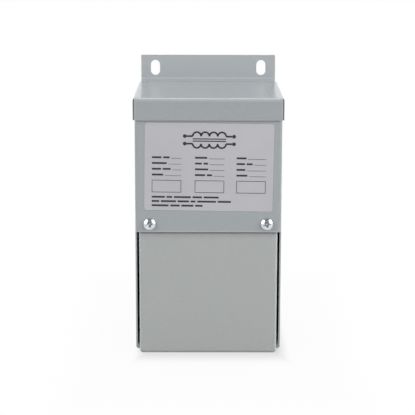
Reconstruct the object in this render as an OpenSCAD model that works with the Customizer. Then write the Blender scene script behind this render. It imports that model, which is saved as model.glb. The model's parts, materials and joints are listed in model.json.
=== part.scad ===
// Small wall-mount dry-type transformer in a bent sheet-steel enclosure.
// The lid has a folded-up mounting flange with two slots along its back edge. The front panel and
// both side walls are one folded sheet, and a separate cover closes the wiring space below it.
// Millimetres. X runs to the right, Y from front to back and Z up. The origin is the middle of the base.

/* [Sheet steel] */
// Thickness of every folded sheet
sheet_t = 0.8; // [0.7:0.1:1.4]
// Inside radius of the folds
bend_r = 0.8; // [0.4:0.1:1.2]
// Clearance between nested sheets
seat_fit = 0.05; // [0.03:0.01:0.1]

/* [Lid] */
// Width across the side lips
lid_w = 79.8; // [70:0.1:110]
// Depth from the front lip to the back face
lid_d = 76.2; // [60:0.1:110]
// Height of the lid's top face above the base
body_h = 139.6; // [120:0.1:190]
// Height of the front and side lips
lip_h = 11.9; // [8:0.1:16]
// Clearance between the lips and the walls they fit over
lid_fit = 0.1; // [0.05:0.05:0.4]
// Open slit between the front lip and each side lip
corner_slit = 0.15; // [0.1:0.05:0.4]
// How far the side lips stop behind the face of the front lip
corner_step = 1.4; // [0.2:0.1:1.6]

/* [Mounting flange] */
// How far each end of the flange stops inside the lid's side
flange_inset = 1.6; // [1.4:0.1:6]
// Height of the flange above the lid
flange_h = 15.2; // [14:0.1:24]
// Radius of the flange's upper corners
flange_corner_r = 0.5; // [0.3:0.1:3]
// Width of each slot
slot_w = 5.2; // [4.5:0.1:7]
// Length of each slot, which stands upright
slot_l = 8.6; // [8:0.1:10]
// Distance from each end of the flange to the middle of its slot
slot_inset = 8.1; // [6:0.1:14]
// Height of the slots' centres above the lid
slot_up = 8; // [7:0.1:9]

/* [Walls] */
// Height of the walls' lower ends above the base
wall_up = 2.8; // [2:0.1:5]
// Radius of the side walls' lower front corners
wall_corner_r = 1.2; // [0.5:0.1:5]
// Width of the folded edges of the back plate
back_fold = 12; // [8:0.5:18]

/* [Bottom pan] */
// Height of the pan's upturned edges
pan_h = 9; // [6:0.5:12]
// Gap between the pan and the folded edges of the cover and the back plate
pan_clear = 0.5; // [0.3:0.1:1]

/* [Wiring cover] */
// Height of the front panel's lower edge, where the cover comes into view
cover_h = 67.5; // [50:0.1:80]
// Gap between the cover and each side wall
cover_gap = 1.1; // [0.5:0.05:2]
// Depth of the cover's folded sides and folded bottom
cover_fold = 8; // [6:0.5:20]
// Height of the tongue that stands behind the front panel
tongue_h = 9; // [8:0.1:12]

/* [Cover screws] */
// Distance from each side of the shell to the middle of its screw
screw_inset = 7.7; // [7:0.1:14]
// Turn of the slot from level
screw_turn = 15; // [-45:1:45]
// Height of the screws above the front panel's lower edge
screw_up = 4.4; // [3.8:0.1:5]
// Diameter of the pan head
head_d = 6.3; // [5.5:0.1:7.5]
// Height of the pan head
head_h = 2; // [1.6:0.1:3]
// Height of the pan head's rim, below the crown
rim_h = 0.7; // [0.4:0.1:1]
// Diameter of the shank
shank_d = 3.5; // [3:0.1:4]
// Length of the shank under the head
shank_l = 9.5; // [6:0.1:14]
// Clearance round the shank in the front panel
panel_hole_fit = 0.25; // [0.1:0.05:0.5]
// Width of the wings of the cross recess
recess_w = 0.9; // [0.6:0.1:1.2]
// Span of the cross recess at the crown
recess_l = 4; // [2.6:0.1:4.4]
// Depth of the cross recess
recess_depth = 1.6; // [0.8:0.1:1.8]
// Width of the square middle that joins the wings
recess_core = 2; // [1.2:0.1:2.2]
// Width of the slot across the head
notch_w = 0.6; // [0.4:0.1:1]
// Depth of the slot below the crown
notch_depth = 0.9; // [0.5:0.1:1.2]

/* [Knockouts] */
// Diameter of the punched holes
knockout_d = 22.2; // [18:0.1:28]
// Height of the side and back knockouts above the base
knockout_up = 33; // [26:0.5:40]
// Sheared gap round each disc
knockout_gap = 0.15; // [0.1:0.05:0.3]
// How far each disc is pushed in
knockout_inset = 0.3; // [0.1:0.1:0.6]

/* [Inside] */
// Gap between the cover's tongue and the divider above it
divider_gap = 1.5; // [1:0.1:4]
// Width of the divider's folded sides
divider_fold = 6; // [4:0.5:10]
// Gap between the potted core and the sheets round it
pot_gap = 0.3; // [0.1:0.1:0.6]

/* [Hidden] */
$fn = 64;

// Colours of the finishes
paint = [0.63, 0.65, 0.66];
zinc = [0.82, 0.83, 0.85];
galvanised = [0.60, 0.61, 0.60];
resin = [0.16, 0.16, 0.17];

// Outside radius of the folds
outer_r = bend_r + sheet_t;

// The screw heads stand out past the lid, so the box is deeper than the lid
head_proud = max(head_h - sheet_t - lid_fit, 0);
back_y = (lid_d + head_proud) / 2;
front_y = back_y - lid_d;
panel_y = front_y + sheet_t + lid_fit;
cover_y = panel_y + sheet_t + seat_fit;
back_in_y = back_y - sheet_t - seat_fit;

// Widths from the lid inwards
shell_w = lid_w - 2 * (sheet_t + lid_fit);
inner_w = shell_w - 2 * sheet_t;
nested_w = inner_w - 2 * seat_fit;
core_w = nested_w - 2 * (sheet_t + seat_fit);
cover_w = inner_w - 2 * cover_gap;
front_lip_w = lid_w - 2 * (sheet_t + corner_slit);
flange_w = lid_w - 2 * flange_inset;
slot_x = flange_w / 2 - slot_inset;
screw_x = shell_w / 2 - screw_inset;

// Heights from the base up
shell_top = body_h - outer_r;
flange_root = body_h - sheet_t;
slot_z = body_h + slot_up;
fold_z = pan_h + pan_clear;
screw_z = cover_h + screw_up;
divider_z = cover_h + tongue_h + divider_gap;
core_z = divider_z + sheet_t;
core_top = flange_root - pot_gap;

// Front edge of the bottom pan, behind the cover's folds
pan_y = cover_y + cover_fold + pan_clear;
pan_d = back_in_y - pan_y;

// How far cutters reach past the faces they cut
over = 1;

// A rectangle on the X axis with its two lower corners rounded
module bullnose_2d(w, h, r) {
    translate([-w / 2, r]) square([w, h - r]);
    translate([r - w / 2, 0]) square([w - 2 * r, h]);
    for (side = [-1, 1]) translate([side * (w / 2 - r), r]) circle(r);
}

// Section of a sheet folded up at both sides
module channel_2d(w, h) {
    difference() {
        bullnose_2d(w, h, outer_r);
        translate([0, sheet_t]) bullnose_2d(w - 2 * sheet_t, h, bend_r);
    }
}

// A rectangle with the corner at the origin rounded
module corner_2d(w, h, r) {
    translate([0, r]) square([w, h - r]);
    translate([r, 0]) square([w - r, h]);
    translate([r, r]) circle(r);
}

// Section of a sheet folded once, with the outside of the fold at the origin
module angle_2d(w, h) {
    difference() {
        corner_2d(w, h, outer_r);
        translate([sheet_t, sheet_t]) corner_2d(w, h, bend_r);
    }
}

// What is cut away to round a corner at the origin
module corner_cut_2d(r) {
    difference() {
        translate([-over, -over]) square(r + over);
        translate([r, r]) circle(r);
    }
}

// Extrudes a section drawn in X and Z between two depths
module along_y(y0, y1) {
    translate([0, y1, 0]) rotate([90, 0, 0]) linear_extrude(y1 - y0) children();
}

// Extrudes a section drawn in Y and Z, centred across the width
module along_x(w) {
    translate([-w / 2, 0, 0]) rotate([90, 0, 90]) linear_extrude(w) children();
}

// Extrudes a plan between two heights
module along_z(z0, z1) {
    translate([0, 0, z0]) linear_extrude(z1 - z0) children();
}

// A round bar along +Y from the origin
module bar_y(d, l) {
    rotate([-90, 0, 0]) cylinder(d = d, h = l);
}

// Section of the lid across its side lips
module lid_section() {
    translate([0, body_h]) mirror([0, 1]) channel_2d(lid_w, lip_h);
}

module flange_blank() {
    difference() {
        along_x(flange_w) translate([back_y, flange_root]) mirror([1, 0]) angle_2d(2 * outer_r, flange_h + sheet_t);
        along_y(back_y - sheet_t - over, back_y + over)
            for (side = [0, 1]) mirror([side, 0])
                translate([flange_w / 2, body_h + flange_h]) rotate(180) corner_cut_2d(flange_corner_r);
    }
}

module flange_slot() {
    straight = slot_l - slot_w;
    for (end = [-1, 1]) translate([0, 0, end * straight / 2]) bar_y(slot_w, sheet_t + 2 * over);
    translate([-slot_w / 2, 0, -straight / 2]) cube([slot_w, sheet_t + 2 * over, straight]);
}

module top_cap() {
    color(paint) difference() {
        union() {
            along_y(front_y + outer_r, back_y - outer_r) lid_section();
            // The side lips run on past the folds at the front and back
            along_y(front_y + corner_step, back_y) difference() {
                lid_section();
                translate([sheet_t - lid_w / 2, 0]) square([lid_w - 2 * sheet_t, body_h + over]);
            }
            along_x(front_lip_w) translate([front_y, body_h]) mirror([0, 1]) angle_2d(2 * outer_r, lip_h);
            flange_blank();
        }
        for (side = [-1, 1]) translate([side * slot_x, back_y - sheet_t - over, slot_z]) flange_slot();
    }
}

module knockout_hole() {
    translate([0, 0, -over]) cylinder(d = knockout_d, h = sheet_t + 2 * over);
}

// A disc whose outer face looks down
module knockout_disc() {
    translate([0, 0, knockout_inset]) cylinder(d = knockout_d - 2 * knockout_gap, h = sheet_t);
}

// Places a child that lies on the base plane on one side wall, facing out
module on_side(side) {
    translate([side * shell_w / 2, 0, knockout_up]) rotate([0, -side * 90, 0]) children();
}

// Places a child that lies on the base plane on the back plate, facing out
module on_back() {
    translate([0, back_y, knockout_up]) rotate([90, 0, 0]) children();
}

module outer_shell() {
    color(paint) difference() {
        along_z(wall_up, shell_top) translate([0, panel_y]) channel_2d(shell_w, back_y - panel_y);
        // The panel and its folds end above the wiring cover
        translate([-lid_w / 2, panel_y - over, 0]) cube([lid_w, outer_r + over, cover_h]);
        along_x(lid_w) translate([panel_y + outer_r, wall_up]) corner_cut_2d(wall_corner_r);
        for (side = [-1, 1]) {
            on_side(side) knockout_hole();
            translate([side * screw_x, panel_y - over, screw_z])
                bar_y(shank_d + 2 * panel_hole_fit, sheet_t + 2 * over);
        }
    }
}

module back_plate() {
    color(paint) difference() {
        union() {
            along_z(fold_z, shell_top) translate([0, back_y]) mirror([0, 1]) channel_2d(nested_w, back_fold);
            translate([outer_r - nested_w / 2, back_y - sheet_t, wall_up])
                cube([nested_w - 2 * outer_r, sheet_t, fold_z]);
        }
        on_back() knockout_hole();
    }
}

module bottom_pan() {
    color(paint) difference() {
        union() {
            along_y(pan_y + outer_r, back_in_y - outer_r) channel_2d(nested_w, pan_h);
            along_x(nested_w - 2 * outer_r) translate([pan_y + pan_d / 2, 0]) channel_2d(pan_d, pan_h);
        }
        knockout_hole();
    }
}

// A block with its front and lower edges rounded and its lower front corners closed like a ball
module tray_block(w, d, h, r) {
    along_y(r, d) bullnose_2d(w, h, r);
    translate([r - w / 2, 0, r]) cube([w - 2 * r, d, h - r]);
    along_x(w - 2 * r) translate([r, r]) circle(r);
    for (side = [-1, 1]) translate([side * (w / 2 - r), r, r]) {
        cylinder(r = r, h = h - r);
        sphere(r);
    }
}

module wiring_cover() {
    color(paint) translate([0, cover_y, 0]) difference() {
        union() {
            difference() {
                tray_block(cover_w, cover_fold, cover_h, outer_r);
                translate([0, sheet_t, sheet_t]) tray_block(cover_w - 2 * sheet_t, cover_fold, cover_h, bend_r);
            }
            translate([outer_r - cover_w / 2, 0, outer_r])
                cube([cover_w - 2 * outer_r, sheet_t, cover_h + tongue_h - outer_r]);
        }
        for (side = [-1, 1]) translate([side * screw_x, -over, screw_z])
            bar_y(shank_d + 2 * seat_fit, sheet_t + 2 * over);
    }
}

// Half section of the pan head, with its seat on the X axis
module head_2d() {
    crown_r = (pow(head_d / 2, 2) + pow(head_h - rim_h, 2)) / (2 * (head_h - rim_h));
    intersection() {
        square([head_d / 2, head_h]);
        translate([0, head_h - crown_r]) circle(crown_r);
    }
}

// A bar across the head, cut down from above the crown
module head_cut(l, w, depth) {
    translate([-l / 2, -head_h - over, -w / 2]) cube([l, depth + over, w]);
}

// Cross recess with four wings that taper to its tip
module cross_recess() {
    taper = (recess_l - recess_w) / recess_depth;
    intersection() {
        translate([0, -head_h - over, 0]) rotate([-90, 0, 0])
            cylinder(d1 = recess_l + taper * over, d2 = recess_w, h = recess_depth + over);
        union() {
            for (turn = [0, 90]) rotate([0, turn, 0]) head_cut(head_d, recess_w, recess_depth + over);
            rotate([0, 45, 0]) head_cut(recess_core, recess_core, recess_depth + over);
        }
    }
}

module cover_screw(side) {
    color(zinc) translate([side * screw_x, panel_y, screw_z]) rotate([0, -screw_turn, 0]) {
        difference() {
            rotate([90, 0, 0]) rotate_extrude() head_2d();
            cross_recess();
            head_cut(head_d, notch_w, notch_depth);
        }
        bar_y(shank_d, shank_l);
    }
}

module cover_screw_left() { cover_screw(-1); }
module cover_screw_right() { cover_screw(1); }

module divider_plate() {
    color(galvanised) along_y(cover_y, back_in_y)
        translate([0, divider_z + sheet_t]) mirror([0, 1]) channel_2d(core_w, divider_fold);
}

module potted_core() {
    core_y = cover_y + pot_gap;
    color(resin) translate([pot_gap - core_w / 2, core_y, core_z])
        cube([core_w - 2 * pot_gap, back_in_y - pot_gap - core_y, core_top - core_z]);
}

module knockout_left() { color(paint) on_side(-1) knockout_disc(); }
module knockout_right() { color(paint) on_side(1) knockout_disc(); }
module knockout_back() { color(paint) on_back() knockout_disc(); }
module knockout_bottom() { color(paint) knockout_disc(); }

top_cap();
outer_shell();
back_plate();
bottom_pan();
wiring_cover();
cover_screw_left();
cover_screw_right();
divider_plate();
potted_core();
knockout_left();
knockout_right();
knockout_back();
knockout_bottom();
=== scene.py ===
import json
import math

import bmesh
import bpy
from mathutils import Matrix, Vector


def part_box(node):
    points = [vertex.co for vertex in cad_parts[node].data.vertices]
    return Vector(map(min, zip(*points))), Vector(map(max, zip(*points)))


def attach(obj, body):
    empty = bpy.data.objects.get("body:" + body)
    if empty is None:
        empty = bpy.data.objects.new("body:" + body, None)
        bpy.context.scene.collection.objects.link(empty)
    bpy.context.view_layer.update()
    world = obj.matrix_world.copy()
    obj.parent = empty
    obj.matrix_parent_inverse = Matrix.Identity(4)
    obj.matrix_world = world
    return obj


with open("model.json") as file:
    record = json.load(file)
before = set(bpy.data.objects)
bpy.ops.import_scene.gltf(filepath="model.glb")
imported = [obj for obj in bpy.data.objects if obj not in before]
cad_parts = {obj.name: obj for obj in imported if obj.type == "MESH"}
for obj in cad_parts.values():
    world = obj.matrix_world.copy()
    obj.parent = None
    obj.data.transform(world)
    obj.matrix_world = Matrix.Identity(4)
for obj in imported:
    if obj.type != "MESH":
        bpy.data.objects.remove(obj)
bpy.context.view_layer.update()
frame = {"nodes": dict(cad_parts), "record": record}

MM = 0.001

# Camera: where it stands, how it is turned in degrees, and its focal length in pixels
IMAGE_PX = 415
SENSOR_MM = 36.0
CAMERA_AT = Vector((-2.7, -794.2, 237.0)) * MM
CAMERA_PITCH = 11.638
CAMERA_YAW = -0.171
CAMERA_ROLL = 0.121
FOCAL_PX = 1453.1

# Label on the front panel, in millimetres and degrees
LABEL_SIZE = (68.3, 47.0)
LABEL_CENTRE = (0.3, 102.65)
LABEL_TURN = -0.7
LABEL_RADIUS = 1.4
LABEL_THICK = 0.12
INK_THICK = 0.02
PANEL_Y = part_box("outer_shell")[0].y

# Winding diagram on the label, in millimetres from the label's middle
COIL_Z = 14.6
COIL_OUT = 2.0
COIL_LOOPS = 4
COIL_LOOP_R = 2.2
COIL_STROKE = 0.95
LOOP_STEPS = 16
CORE_STROKE = 0.6
LEAD_OUT = 3.2
TERMINAL_R = 1.0
TERMINAL_SIDES = 24

# Blank fields on the label, in millimetres, with the length of each bar that stands for a word
FIELD_ROWS = (5.1, 2.0, -1.1, -4.2)
FIELD_COLUMNS = (-30.2, -7.4, 14.6)
FIELD_WIDTH = 15.6
WORD_HEIGHT = 1.0
WORD_GAP = 0.9
CAPTIONS = (
    ((5.0, 3.4), (6.4,), (5.2,)),
    ((7.8,), (3.6, 2.4), (4.4, 3.2)),
    ((4.8, 4.2), (7.0,), (4.6,)),
    ((6.0,), (5.4, 2.8), (5.8,)),
)
RULE_STROKE = 0.22
STAMP_Z = -10.4
STAMP_HEIGHT = 6.4
STAMP_STROKE = 0.3
NOTE_ROWS = (-16.2, -18.5, -20.8)
NOTES = ((7.0, 3.0, 9.0, 5.0, 8.0), (4.0, 8.0, 6.0, 2.6, 10.0, 7.0), (9.0, 5.0, 6.4, 4.0))

# Paint: its colours on screen, with the tones of its painted highlights, painted light and painted shade
PAINT_TONE = (161.5, 166.5, 169)
PANEL_EDGE_HIGHLIGHT_TONE = (173, 178, 180)
LID_TONE = (158.5, 163.5, 166)
FLANGE_LIT_TONE = (171.5, 176.5, 179)
CREASE_HIGHLIGHT_TONE = (183, 188, 191)
LIP_EDGE_HIGHLIGHT_TONE = (170, 175, 177.5)
LIP_END_HIGHLIGHT_TONE = (186, 191, 193)
LIP_END_SHADE_TONE = (136, 140, 142)
COVER_TONE = (171, 173.5, 173.5)
SEAM_SHADE_TONE = (162, 164.5, 164.5)
SEAM_SHADOW_TONE = (129, 132, 132)
BEND_HIGHLIGHT_TONE = (196, 198, 198)

# Paint: the grain in its colours, how rough it is, its orange peel and the rounding of its edges
PAINT_GRAIN = 4.0
COARSE_GRAIN = 1500
FINE_GRAIN = 4000
GRAIN_RANGE = (0.6, 1.4)
PAINT_ROUGHNESS = (0.24, 0.27)
DULL_ROUGHNESS = 0.36
MARGIN_ROUGHNESS = 0.16
PEEL_SCALE = 1400
PEEL_HEIGHT = 0.01 * MM
PEEL_STRENGTH = 0.2
PAINT_EDGE = 0.18 * MM

# A fade this long leaves its direction out
NO_FADE = 1.0

# Lid by height: its top, and how far up the flange's lighter tone, painted bounce light, fades in
LID_TOP = 139.6 * MM
FLANGE_LIT_FADE = 0.7 * MM

# Painted highlights on the flange's crease and the lips' upper edge: how far from its middle each is full
# and gone
CREASE_HIGHLIGHT_UP = 1.9 * MM
CREASE_HIGHLIGHT_BAND = (0.25 * MM, 0.75 * MM)
LIP_EDGE_HIGHLIGHT_DOWN = 1.0 * MM
LIP_EDGE_HIGHLIGHT_BAND = (0.4 * MM, 1.2 * MM)

# Lid in plan: margins of the dulled middle, the painted edge highlight and the lip's ends, and how far each
# fades
DULL_MARGIN = Vector((8.5, 3.0)) * MM
DULL_FADE = (6.5 * MM, 2.0 * MM)
LIP_EDGE_HIGHLIGHT_MARGIN = Vector((1.0, 1.0)) * MM
LIP_EDGE_HIGHLIGHT_FADE = (0.4 * MM, 0.4 * MM)
END_MARGIN = Vector((1.5, 0.0)) * MM
END_FADE = (0.2 * MM, NO_FADE)

# Lid's front corners, in from the front: where the lip's painted highlight turns to painted shade, and
# where that ends
LIP_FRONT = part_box("top_cap")[0].y
LIP_STEP = (1.0 * MM, 1.4 * MM)
LIP_END_SHADE_FADE = (1.6 * MM, 1.8 * MM)

# Cover: how far a painted shadow and a fainter painted shade reach down from the seam under the panel, and
# fade
TONGUE = 9.0 * MM
SEAM_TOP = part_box("wiring_cover")[1].z - TONGUE
SEAM_SHADOW_DOWN = 1.7 * MM
SEAM_SHADOW_FADE = 1.3 * MM
SEAM_SHADE_DOWN = 4.5 * MM
SEAM_SHADE_FADE = 3.2 * MM

# Cover's side bends with a painted highlight: the margin of its flat face, and how far that fades
BEND_HIGHLIGHT_MARGIN = Vector((1.0, 0.0)) * MM
BEND_HIGHLIGHT_FADE = (0.5 * MM, NO_FADE)

# Panel's lower edge with a painted highlight: how far it is full and gone, up from the seam and in from the
# front
EDGE_HIGHLIGHT_BAND = (0.35 * MM, 0.95 * MM)
EDGE_HIGHLIGHT_DEPTH = (1.0 * MM, 1.6 * MM)

# Zinc of the screws, with the painted shade in their recess
ZINC_TONES = ((222, 225, 229), (208, 214, 222))
ZINC_PATCHES = 500
ZINC_ROUGHNESS = (0.14, 0.24)
ZINC_STREAKS = 2500
RECESS_SHADE_TONE = (38, 46, 54)
RECESS_REACH = 1.4 * MM
RECESS_SHADE = (0.3, 0.75)
MARK_SCALE = 3000
MARK_HEIGHT = 0.01 * MM
MARK_STRENGTH = 0.4
ZINC_EDGE = 0.08 * MM

# Galvanised plate inside
SPANGLE_SCALE = 160.0
SPANGLE_TONES = ((196, 198, 198), (178, 180, 182))
SPANGLE_ROUGHNESS = (0.35, 0.55)
SPANGLE_DRIFT = 200

# Potting resin inside
RESIN_TONES = ((34, 34, 35), (55, 55, 57))
RESIN_PATCHES = 1200
RESIN_ROUGHNESS = 0.7
SAND_SCALE = 1500
SAND_HEIGHT = 0.1 * MM
SAND_STRENGTH = 0.6

# Label's film and ink
FILM_TONES = ((185, 185, 190), (190, 190, 194))
FILM_PATCHES = 40
FILM_ROUGHNESS = (0.34, 0.44)
FILM_DRIFT = 120
FILM_WAVES = 260
FILM_HEIGHT = 0.02 * MM
FILM_STRENGTH = 0.25
FILM_EDGE = 0.1 * MM
INK_TONES = ((32, 32, 36), (52, 52, 57))
INK_PATCHES = 1800
INK_ROUGHNESS = 0.5

# Floor: its greys as linear values, and its size in metres
FLOOR_GREYS = ((0.42, 0.42, 0.42), (0.44, 0.44, 0.44))
FLOOR_PATCHES = 3
FLOOR_ROUGHNESS = 0.9
FLOOR_SIZE = 16.0

# Object's footprint on the floor, drawn in a little at the left
FOOT_INSET = Vector((4.0, 0.0)) * MM
FOOT_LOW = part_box("wiring_cover")[0].xy + FOOT_INSET
FOOT_HIGH = Vector((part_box("wiring_cover")[1].x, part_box("outer_shell")[1].y))

# Contact shadow: its reach in X and Y, how white the floor is at both its ends, and reaches to full white
SHADOW_REACH = (8.0 * MM, 20.0 * MM)
EDGE_WHITE = 0.60
REACH_WHITE = 0.95
CLEAR_REACHES = 8.0

# Dark floor under the walls: the fade at its border
UNDER_FADE = (0.4 * MM, 0.4 * MM)

# World: its light on the object and, in reflections, a dim room
WHITE = (1.0, 1.0, 1.0)
AMBIENT = (0.12, 0.12, 0.12)
ROOM_GREY = (0.26, 0.27, 0.29)

# Low white backdrop in reflections: the directions between which it fades in to the back and out upwards
BACKDROP_FRONT = (-0.5, 0.2)
BACKDROP_TOP = (0.14, 0.34)

# Lamps: name, place and size in metres, and power in watts, with the point that they all look at
LAMPS = (
    ("softbox_left", (-1.22, -0.66, 0.72), (1.0, 1.2), 17.0),
    ("softbox_right", (1.22, -0.66, 0.72), (1.0, 1.2), 21.0),
    ("softbox_top", (0.0, 0.45, 1.6), (1.0, 1.0), 11.5),
    ("softbox_back_left", (-0.9, 1.25, 0.32), (1.0, 0.6), 7.0),
    ("softbox_back_right", (0.9, 1.25, 0.32), (1.0, 0.6), 7.0),
)
LAMP_AIM = Vector((0, 0, 0.07))


# Node helpers

def add_node(tree, kind, **values):
    """Adds a node, and sets its inputs and its attributes by name."""
    node = tree.nodes.new(kind)
    for name, value in values.items():
        if name in node.inputs:
            node.inputs[name].default_value = value
        else:
            setattr(node, name, value)
    return node


def new_material(name):
    """A node material, with its tree and its principled shader."""
    material = bpy.data.materials.new(name)
    material.use_nodes = True
    tree = material.node_tree
    return material, tree, tree.nodes["Principled BSDF"]


def noise(tree, scale, detail=3.0):
    """Noise in the object's own coordinates, with about scale features in a metre."""
    where = add_node(tree, "ShaderNodeTexCoord")
    texture = add_node(tree, "ShaderNodeTexNoise", Scale=scale, Detail=detail)
    tree.links.new(where.outputs["Object"], texture.inputs["Vector"])
    return texture.outputs["Fac"]


def remap(tree, value, from_min, from_max, to_min=0.0, to_max=1.0):
    """Maps a range of a value to another range, with soft ends."""
    node = add_node(tree, "ShaderNodeMapRange", interpolation_type="SMOOTHSTEP")
    node.inputs["From Min"].default_value = from_min
    node.inputs["From Max"].default_value = from_max
    node.inputs["To Min"].default_value = to_min
    node.inputs["To Max"].default_value = to_max
    tree.links.new(value, node.inputs["Value"])
    return node.outputs["Result"]


def spread(tree, value, low=0.0, high=1.0):
    """Stretches noise, which stays near the middle, to a range."""
    return remap(tree, value, 0.25, 0.75, low, high)


def math_node(tree, operation, first, second):
    """Joins two sockets, or a socket and a number, by one operation."""
    node = add_node(tree, "ShaderNodeMath", operation=operation)
    for socket, value in zip(node.inputs, (first, second)):
        if isinstance(value, bpy.types.NodeSocket):
            tree.links.new(value, socket)
        else:
            socket.default_value = value
    return node.outputs[0]


def mix_colour(tree, share, first, second):
    """Mixes two colours, each a value or a socket."""
    node = add_node(tree, "ShaderNodeMix", data_type="RGBA")
    tree.links.new(share, node.inputs[0])
    for socket, colour in ((node.inputs[6], first), (node.inputs[7], second)):
        if isinstance(colour, bpy.types.NodeSocket):
            tree.links.new(colour, socket)
        else:
            socket.default_value = (*colour, 1.0)
    return node.outputs[2]


def bump(tree, height, distance, strength, edge=None):
    """A bump from a height, over rounded edges of a radius where one is given."""
    node = add_node(tree, "ShaderNodeBump", Strength=strength, Distance=distance)
    tree.links.new(height, node.inputs["Height"])
    if edge is not None:
        rounded = add_node(tree, "ShaderNodeBevel", samples=6, Radius=edge)
        tree.links.new(rounded.outputs["Normal"], node.inputs["Normal"])
    return node.outputs["Normal"]


def past(tree, letter, start):
    """How far a point lies past a start along an axis."""
    where = add_node(tree, "ShaderNodeTexCoord")
    parts = add_node(tree, "ShaderNodeSeparateXYZ")
    tree.links.new(where.outputs["Object"], parts.inputs[0])
    return math_node(tree, "SUBTRACT", parts.outputs[letter], start)


def aside(tree, letter, middle):
    """How far a point lies to either side of a middle along an axis."""
    return math_node(tree, "ABSOLUTE", past(tree, letter, middle), 0.0)


def stripe(tree, letter, middle, inner, outer):
    """1 up to an inner distance from a middle along an axis, and 0 from an outer one."""
    return remap(tree, aside(tree, letter, middle), inner, outer, 1.0, 0.0)


def plan_distance(tree, low, high, reach):
    """How far a point lies outside a rectangle in plan, as a share of a reach in X and in Y."""
    sides = []
    for axis, letter in enumerate("XY"):
        middle = (low[axis] + high[axis]) / 2
        half = (high[axis] - low[axis]) / 2
        outside = math_node(tree, "SUBTRACT", aside(tree, letter, middle), half)
        sides.append(math_node(tree, "DIVIDE", outside, reach[axis]))
    return math_node(tree, "MAXIMUM", *sides)


def margin_distance(tree, node, margin, fade):
    """How far a point lies past a margin inside a node's box in plan, as a share of a fade."""
    low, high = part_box(node)
    return plan_distance(tree, low.xy + margin, high.xy - margin, fade)


def mirrored(tree, path):
    """1 for a ray that shows in metal, gloss or glass."""
    return math_node(tree, "MAXIMUM", path.outputs["Is Glossy Ray"], path.outputs["Is Transmission Ray"])


def srgb(red, green, blue):
    """Linear colour from 0 to 255 screen values."""
    def linear(value):
        share = value / 255
        return share / 12.92 if share <= 0.04045 else ((share + 0.055) / 1.055) ** 2.4
    return tuple(linear(value) for value in (red, green, blue))


def mottled(tree, scale, tones):
    """A colour that wanders between two screen colours."""
    first, second = tones
    return mix_colour(tree, spread(tree, noise(tree, scale)), srgb(*first), srgb(*second))


# Materials

def paint_colour(tree, tone):
    """A paint colour with fine grain, from its middle value on screen."""
    grain = math_node(tree, "ADD", noise(tree, COARSE_GRAIN, 2), noise(tree, FINE_GRAIN, 1))
    deep = srgb(*(level - PAINT_GRAIN for level in tone))
    light = srgb(*(level + PAINT_GRAIN for level in tone))
    return mix_colour(tree, remap(tree, grain, *GRAIN_RANGE), deep, light)


def paint_roughness(tree):
    """The coat's sheen, slightly uneven."""
    return spread(tree, noise(tree, COARSE_GRAIN), *PAINT_ROUGHNESS)


def powder_coat(name):
    """A satin grey powder coat with orange peel, before its colour and its sheen."""
    material, tree, shader = new_material(name)
    peel = bump(tree, noise(tree, PEEL_SCALE, 1), PEEL_HEIGHT, PEEL_STRENGTH, PAINT_EDGE)
    tree.links.new(peel, shader.inputs["Normal"])
    return material, tree, shader


def shell_coat():
    """The coat of most pieces, with a painted highlight along the front panel's lower edge."""
    material, tree, shader = powder_coat("grey_powder_coat")
    # Painted highlight: a lighter band along the front panel's lower edge
    band = stripe(tree, "Z", SEAM_TOP, *EDGE_HIGHLIGHT_BAND)
    front = remap(tree, past(tree, "Y", PANEL_Y), *EDGE_HIGHLIGHT_DEPTH, 1.0, 0.0)
    edge = math_node(tree, "MULTIPLY", band, front)
    colour = mix_colour(tree, edge, paint_colour(tree, PAINT_TONE), paint_colour(tree, PANEL_EDGE_HIGHLIGHT_TONE))
    tree.links.new(colour, shader.inputs["Base Color"])
    tree.links.new(paint_roughness(tree), shader.inputs["Roughness"])
    return material


def lid_sheet_colour(tree):
    """The lid's paint, with painted light: lighter on the flange, and highlights on its crease and the
    lips' upper edge.
    """
    # Painted light: the flange is lighter, for the light that the lid bounces onto it
    rise = remap(tree, past(tree, "Z", LID_TOP), 0.0, FLANGE_LIT_FADE)
    sheet = mix_colour(tree, rise, paint_colour(tree, LID_TONE), paint_colour(tree, FLANGE_LIT_TONE))
    # Painted highlight on the crease at the foot of the flange
    crease = stripe(tree, "Z", LID_TOP + CREASE_HIGHLIGHT_UP, *CREASE_HIGHLIGHT_BAND)
    creased = mix_colour(tree, crease, sheet, paint_colour(tree, CREASE_HIGHLIGHT_TONE))
    # Painted highlight along the upper edge of the lips
    band = stripe(tree, "Z", LID_TOP - LIP_EDGE_HIGHLIGHT_DOWN, *LIP_EDGE_HIGHLIGHT_BAND)
    outer = remap(tree, margin_distance(tree, "top_cap", LIP_EDGE_HIGHLIGHT_MARGIN, LIP_EDGE_HIGHLIGHT_FADE), -1.0, 0.0)
    lip_edge_highlight = math_node(tree, "MULTIPLY", band, outer)
    return mix_colour(tree, lip_edge_highlight, creased, paint_colour(tree, LIP_EDGE_HIGHLIGHT_TONE))


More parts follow.
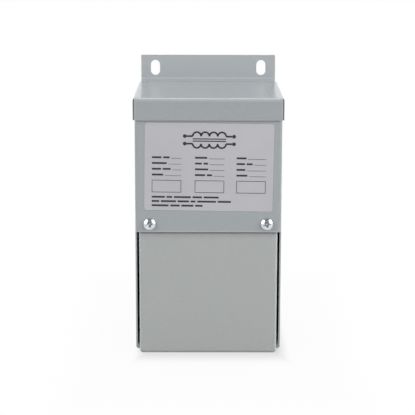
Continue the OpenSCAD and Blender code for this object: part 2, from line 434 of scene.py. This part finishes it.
def lid_coat():
    """The coat of the lid: dulled by handling in the middle, with painted highlights and shade at the ends
    of the lips.
    """
    material, tree, shader = powder_coat("grey_powder_coat_lid")
    # Painted highlight on the front lip's ends, turning to painted shade on the side lips' ends behind them
    depth = past(tree, "Y", LIP_FRONT)
    behind = remap(tree, depth, *LIP_STEP)
    lit_and_shaded_ends = mix_colour(tree, behind, paint_colour(tree, LIP_END_HIGHLIGHT_TONE), paint_colour(tree, LIP_END_SHADE_TONE))
    beside = remap(tree, margin_distance(tree, "top_cap", END_MARGIN, END_FADE), 0.0, 1.0)
    front = remap(tree, depth, *LIP_END_SHADE_FADE, 1.0, 0.0)
    corner = math_node(tree, "MULTIPLY", beside, front)
    colour = mix_colour(tree, corner, lid_sheet_colour(tree), lit_and_shaded_ends)
    tree.links.new(colour, shader.inputs["Base Color"])
    margin = margin_distance(tree, "top_cap", DULL_MARGIN, DULL_FADE)
    roughness = remap(tree, margin, 0.0, 1.0, DULL_ROUGHNESS, MARGIN_ROUGHNESS)
    tree.links.new(roughness, shader.inputs["Roughness"])
    return material


def cover_coat():
    """The coat of the cover: painted shadow and shade below the seam, and a painted highlight on the side
    bends.
    """
    material, tree, shader = powder_coat("grey_powder_coat_cover")
    # Painted shade a few millimetres below the seam, and a darker painted shadow right under the panel's
    # edge
    seam_shade = remap(tree, past(tree, "Z", SEAM_TOP - SEAM_SHADE_DOWN), 0.0, SEAM_SHADE_FADE)
    seam_shaded = mix_colour(tree, seam_shade, paint_colour(tree, COVER_TONE), paint_colour(tree, SEAM_SHADE_TONE))
    seam = remap(tree, past(tree, "Z", SEAM_TOP - SEAM_SHADOW_DOWN), 0.0, SEAM_SHADOW_FADE)
    face = mix_colour(tree, seam, seam_shaded, paint_colour(tree, SEAM_SHADOW_TONE))
    # Painted highlight on the cover's side bends
    bend = remap(tree, margin_distance(tree, "wiring_cover", BEND_HIGHLIGHT_MARGIN, BEND_HIGHLIGHT_FADE), 0.0, 1.0)
    colour = mix_colour(tree, bend, face, paint_colour(tree, BEND_HIGHLIGHT_TONE))
    tree.links.new(colour, shader.inputs["Base Color"])
    tree.links.new(paint_roughness(tree), shader.inputs["Roughness"])
    return material


def zinc_plate():
    """Bright zinc with a faint blue passivation, painted shade in the recess and at the rim, and fine tool
    marks.
    """
    material, tree, shader = new_material("bright_zinc")
    shader.inputs["Metallic"].default_value = 1.0
    # Painted shade in the recess and round the rim, where the ambient occlusion is low
    hollow = add_node(tree, "ShaderNodeAmbientOcclusion", samples=12, Distance=RECESS_REACH)
    shade = remap(tree, hollow.outputs["AO"], *RECESS_SHADE)
    colour = mix_colour(tree, shade, srgb(*RECESS_SHADE_TONE), mottled(tree, ZINC_PATCHES, ZINC_TONES))
    tree.links.new(colour, shader.inputs["Base Color"])
    tree.links.new(spread(tree, noise(tree, ZINC_STREAKS), *ZINC_ROUGHNESS), shader.inputs["Roughness"])
    marks = bump(tree, noise(tree, MARK_SCALE, 2), MARK_HEIGHT, MARK_STRENGTH, ZINC_EDGE)
    tree.links.new(marks, shader.inputs["Normal"])
    return material


def galvanised_sheet():
    """Spangled zinc coating on the plate inside."""
    material, tree, shader = new_material("galvanised_sheet")
    shader.inputs["Metallic"].default_value = 1.0
    where = add_node(tree, "ShaderNodeTexCoord")
    spangle = add_node(tree, "ShaderNodeTexVoronoi", Scale=SPANGLE_SCALE)
    tree.links.new(where.outputs["Object"], spangle.inputs["Vector"])
    centre, rim = SPANGLE_TONES
    colour = mix_colour(tree, spangle.outputs["Distance"], srgb(*centre), srgb(*rim))
    tree.links.new(colour, shader.inputs["Base Color"])
    tree.links.new(spread(tree, noise(tree, SPANGLE_DRIFT), *SPANGLE_ROUGHNESS), shader.inputs["Roughness"])
    return material


def potting_resin():
    """Matt black cast compound with sand in it."""
    material, tree, shader = new_material("potting_resin")
    tree.links.new(mottled(tree, RESIN_PATCHES, RESIN_TONES), shader.inputs["Base Color"])
    shader.inputs["Roughness"].default_value = RESIN_ROUGHNESS
    sand = bump(tree, noise(tree, SAND_SCALE), SAND_HEIGHT, SAND_STRENGTH)
    tree.links.new(sand, shader.inputs["Normal"])
    return material


def label_film():
    """Pale grey printed polyester with a faint sheen."""
    material, tree, shader = new_material("label_film")
    tree.links.new(mottled(tree, FILM_PATCHES, FILM_TONES), shader.inputs["Base Color"])
    tree.links.new(spread(tree, noise(tree, FILM_DRIFT), *FILM_ROUGHNESS), shader.inputs["Roughness"])
    waves = bump(tree, noise(tree, FILM_WAVES, 2), FILM_HEIGHT, FILM_STRENGTH, FILM_EDGE)
    tree.links.new(waves, shader.inputs["Normal"])
    return material


def label_ink():
    """Black print with slightly uneven cover."""
    material, tree, shader = new_material("label_ink")
    tree.links.new(mottled(tree, INK_PATCHES, INK_TONES), shader.inputs["Base Color"])
    shader.inputs["Roughness"].default_value = INK_ROUGHNESS
    return material


def floor_white(tree):
    """How white the floor looks: less near the footprint, and not at all under the walls."""
    # Partly painted shadow: the white is held back near the footprint and under the walls, where the grey
    # floor and the lamps' real shadow show
    clear = plan_distance(tree, FOOT_LOW, FOOT_HIGH, SHADOW_REACH)
    near = remap(tree, clear, 0.0, 1.0, EDGE_WHITE, REACH_WHITE)
    far = remap(tree, clear, 1.0, CLEAR_REACHES, 0.0, 1.0 - REACH_WHITE)
    shell_low, shell_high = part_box("outer_shell")
    under_low = (shell_low.x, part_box("bottom_pan")[0].y)
    open_floor = remap(tree, plan_distance(tree, under_low, shell_high, UNDER_FADE), -1.0, 0.0)
    return math_node(tree, "MULTIPLY", open_floor, math_node(tree, "ADD", near, far))


def pale_floor():
    """White studio floor: plain white to the camera, less the object's shadow."""
    material, tree, shader = new_material("pale_floor")
    shader.inputs["Roughness"].default_value = FLOOR_ROUGHNESS
    haze = spread(tree, noise(tree, FLOOR_PATCHES, 2))
    tree.links.new(mix_colour(tree, haze, *FLOOR_GREYS), shader.inputs["Base Color"])
    white = add_node(tree, "ShaderNodeEmission", Strength=1.0)
    path = add_node(tree, "ShaderNodeLightPath")
    seen = math_node(tree, "MAXIMUM", path.outputs["Is Camera Ray"], mirrored(tree, path))
    blend = add_node(tree, "ShaderNodeMixShader")
    tree.links.new(math_node(tree, "MULTIPLY", seen, floor_white(tree)), blend.inputs[0])
    tree.links.new(shader.outputs[0], blend.inputs[1])
    tree.links.new(white.outputs[0], blend.inputs[2])
    tree.links.new(blend.outputs[0], tree.nodes["Material Output"].inputs["Surface"])
    return material


# Mesh helpers

def mesh_piece(name, bm, material):
    """Makes an object from a bmesh, with its material, riding on the part."""
    bmesh.ops.recalc_face_normals(bm, faces=bm.faces)
    mesh = bpy.data.meshes.new(name)
    bm.to_mesh(mesh)
    bm.free()
    mesh.materials.append(material)
    piece = bpy.data.objects.new(name, mesh)
    bpy.context.scene.collection.objects.link(piece)
    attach(piece, "root")


def arc(centre, radius, start, end, steps):
    """Points along an arc, with angles in degrees."""
    points = []
    for step in range(steps + 1):
        angle = math.radians(start + (end - start) * step / steps)
        points.append((centre[0] + radius * math.cos(angle), centre[1] + radius * math.sin(angle)))
    return points


def rounded_outline(width, height, radius, steps=8):
    """Points round a rectangle with round corners."""
    points = []
    for turn, (side, level) in enumerate(((1, -1), (1, 1), (-1, 1), (-1, -1))):
        centre = (side * (width / 2 - radius), level * (height / 2 - radius))
        points += arc(centre, radius, 90 * (turn - 1), 90 * turn, steps)
    return points


def label_point(x, z, out):
    """A point of the label, in millimetres from its middle and out from the panel."""
    turn = math.radians(LABEL_TURN)
    across = LABEL_CENTRE[0] + x * math.cos(turn) - z * math.sin(turn)
    up = LABEL_CENTRE[1] + x * math.sin(turn) + z * math.cos(turn)
    return Vector((across * MM, PANEL_Y - out * MM, up * MM))


def add_prism(bm, outline, low, high):
    """A flat prism on the label from an outline, between two distances from the panel."""
    under = [bm.verts.new(label_point(x, z, low)) for x, z in outline]
    over = [bm.verts.new(label_point(x, z, high)) for x, z in outline]
    bm.faces.new(over)
    bm.faces.new(list(reversed(under)))
    count = len(outline)
    for index in range(count):
        following = (index + 1) % count
        bm.faces.new((under[index], under[following], over[following], over[index]))


def add_ink(bm, outline):
    """A printed shape on the face of the label."""
    add_prism(bm, outline, LABEL_THICK, LABEL_THICK + INK_THICK)


def add_bar(bm, x, z, width, height):
    """A printed bar from its left end, centred on its height."""
    low = z - height / 2
    high = z + height / 2
    add_ink(bm, [(x, low), (x + width, low), (x + width, high), (x, high)])


def add_words(bm, x, z, lengths):
    """A row of plain bars, one for each word. Gives where the next word would start."""
    for length in lengths:
        add_bar(bm, x, z, length, WORD_HEIGHT)
        x += length + WORD_GAP
    return x


def add_stroke(bm, points, width):
    """A printed line of one width along points."""
    left = []
    right = []
    last = len(points) - 1
    for index, (x, z) in enumerate(points):
        before = Vector(points[max(index - 1, 0)])
        after = Vector(points[min(index + 1, last)])
        along = (after - before).normalized()
        left.append((x - along.y * width / 2, z + along.x * width / 2))
        right.append((x + along.y * width / 2, z - along.x * width / 2))
    add_ink(bm, right + left[::-1])


# Object

def dress_nodes():
    """Gives each solid the finish of its slot, and the lid and the cover coats of their own."""
    finishes = {
        "grey_paint": shell_coat(),
        "zinc_plate": zinc_plate(),
        "galvanised_sheet": galvanised_sheet(),
        "potting_resin": potting_resin(),
    }
    own_coats = {
        "top_cap": lid_coat(),
        "wiring_cover": cover_coat(),
    }
    for subpart in frame["record"]["subparts"]:
        piece = frame["nodes"][subpart["node"]]
        piece.data.materials.clear()
        piece.data.materials.append(own_coats.get(subpart["node"], finishes[subpart["material_slot"]]))


def make_label():
    """The sticker, with rounded corners."""
    bm = bmesh.new()
    add_prism(bm, rounded_outline(*LABEL_SIZE, LABEL_RADIUS), 0.0, LABEL_THICK)
    mesh_piece("label_film", bm, label_film())


def add_winding(bm, side):
    """One winding of the diagram: a row of half loops with a lead to a terminal at each end."""
    foot = COIL_Z + side * COIL_OUT
    half = COIL_LOOPS * COIL_LOOP_R
    for loop in range(COIL_LOOPS):
        centre = (COIL_LOOP_R * (2 * loop + 1) - half, foot)
        add_stroke(bm, arc(centre, COIL_LOOP_R, 180, 180 - side * 180, LOOP_STEPS), COIL_STROKE)
    for end in (-1, 1):
        add_stroke(bm, [(end * half, foot), (end * (half + LEAD_OUT), foot)], COIL_STROKE)
        terminal = (end * (half + LEAD_OUT + TERMINAL_R), foot)
        add_ink(bm, arc(terminal, TERMINAL_R, 0, 360 - 360 / TERMINAL_SIDES, TERMINAL_SIDES - 1))


def add_stamp_box(bm, x):
    """An outlined blank box from its left side."""
    for level in (-1, 1):
        add_bar(bm, x, STAMP_Z + level * STAMP_HEIGHT / 2, FIELD_WIDTH, STAMP_STROKE)
    for start in (x, x + FIELD_WIDTH - STAMP_STROKE):
        add_bar(bm, start, STAMP_Z, STAMP_STROKE, STAMP_HEIGHT - STAMP_STROKE)


def print_label():
    """A winding diagram over blank ruled fields."""
    bm = bmesh.new()
    half = COIL_LOOPS * COIL_LOOP_R
    for side in (-1, 1):
        add_winding(bm, side)
        add_bar(bm, -half, COIL_Z + side * CORE_STROKE, 2 * half, CORE_STROKE)
    for level, captions in zip(FIELD_ROWS, CAPTIONS):
        for start, lengths in zip(FIELD_COLUMNS, captions):
            blank = add_words(bm, start, level, lengths)
            add_bar(bm, blank, level - WORD_HEIGHT / 2, start + FIELD_WIDTH - blank, RULE_STROKE)
    for start in FIELD_COLUMNS:
        add_stamp_box(bm, start)
    for level, lengths in zip(NOTE_ROWS, NOTES):
        add_words(bm, FIELD_COLUMNS[0], level, lengths)
    mesh_piece("label_print", bm, label_ink())


# Studio

def make_floor():
    """A plain studio floor."""
    bpy.ops.mesh.primitive_plane_add(size=FLOOR_SIZE, location=(0, 0, 0))
    floor = bpy.context.object
    floor.name = "studio_floor"
    floor.data.materials.append(pale_floor())


def make_world():
    """White to the camera, a dim room with a low white backdrop in reflections, and a plain soft light."""
    world = bpy.data.worlds.new("studio")
    bpy.context.scene.world = world
    world.use_nodes = True
    tree = world.node_tree
    path = add_node(tree, "ShaderNodeLightPath")
    where = add_node(tree, "ShaderNodeTexCoord")
    parts = add_node(tree, "ShaderNodeSeparateXYZ")
    tree.links.new(where.outputs["Generated"], parts.inputs[0])
    behind = remap(tree, parts.outputs["Y"], *BACKDROP_FRONT)
    low = remap(tree, parts.outputs["Z"], *BACKDROP_TOP, 1.0, 0.0)
    room = mix_colour(tree, math_node(tree, "MULTIPLY", behind, low), ROOM_GREY, WHITE)
    level = mix_colour(tree, mirrored(tree, path), AMBIENT, room)
    colour = mix_colour(tree, path.outputs["Is Camera Ray"], level, WHITE)
    tree.links.new(colour, tree.nodes["Background"].inputs["Color"])


def make_lamp(name, place, size, power):
    """A soft box that looks at the middle of the object."""
    data = bpy.data.lights.new(name, "AREA")
    data.shape = "RECTANGLE"
    data.size, data.size_y = size
    data.energy = power
    lamp = bpy.data.objects.new(name, data)
    bpy.context.scene.collection.objects.link(lamp)
    lamp.location = place
    aim = LAMP_AIM - Vector(place)
    lamp.rotation_euler = aim.to_track_quat("-Z", "Y").to_euler()


def make_camera():
    """The photograph's view."""
    data = bpy.data.cameras.new("camera")
    data.sensor_width = SENSOR_MM
    data.lens = FOCAL_PX / IMAGE_PX * SENSOR_MM
    camera = bpy.data.objects.new("camera", data)
    bpy.context.scene.collection.objects.link(camera)
    turn = Matrix.Rotation(math.radians(CAMERA_YAW), 4, "Z")
    tilt = Matrix.Rotation(math.radians(90 - CAMERA_PITCH), 4, "X")
    roll = Matrix.Rotation(math.radians(CAMERA_ROLL), 4, "Z")
    camera.matrix_world = Matrix.Translation(CAMERA_AT) @ turn @ tilt @ roll
    bpy.context.scene.camera = camera


bpy.context.scene.view_settings.view_transform = "Standard"
make_camera()
dress_nodes()
make_label()
print_label()
make_floor()
make_world()
for lamp_values in LAMPS:
    make_lamp(*lamp_values)
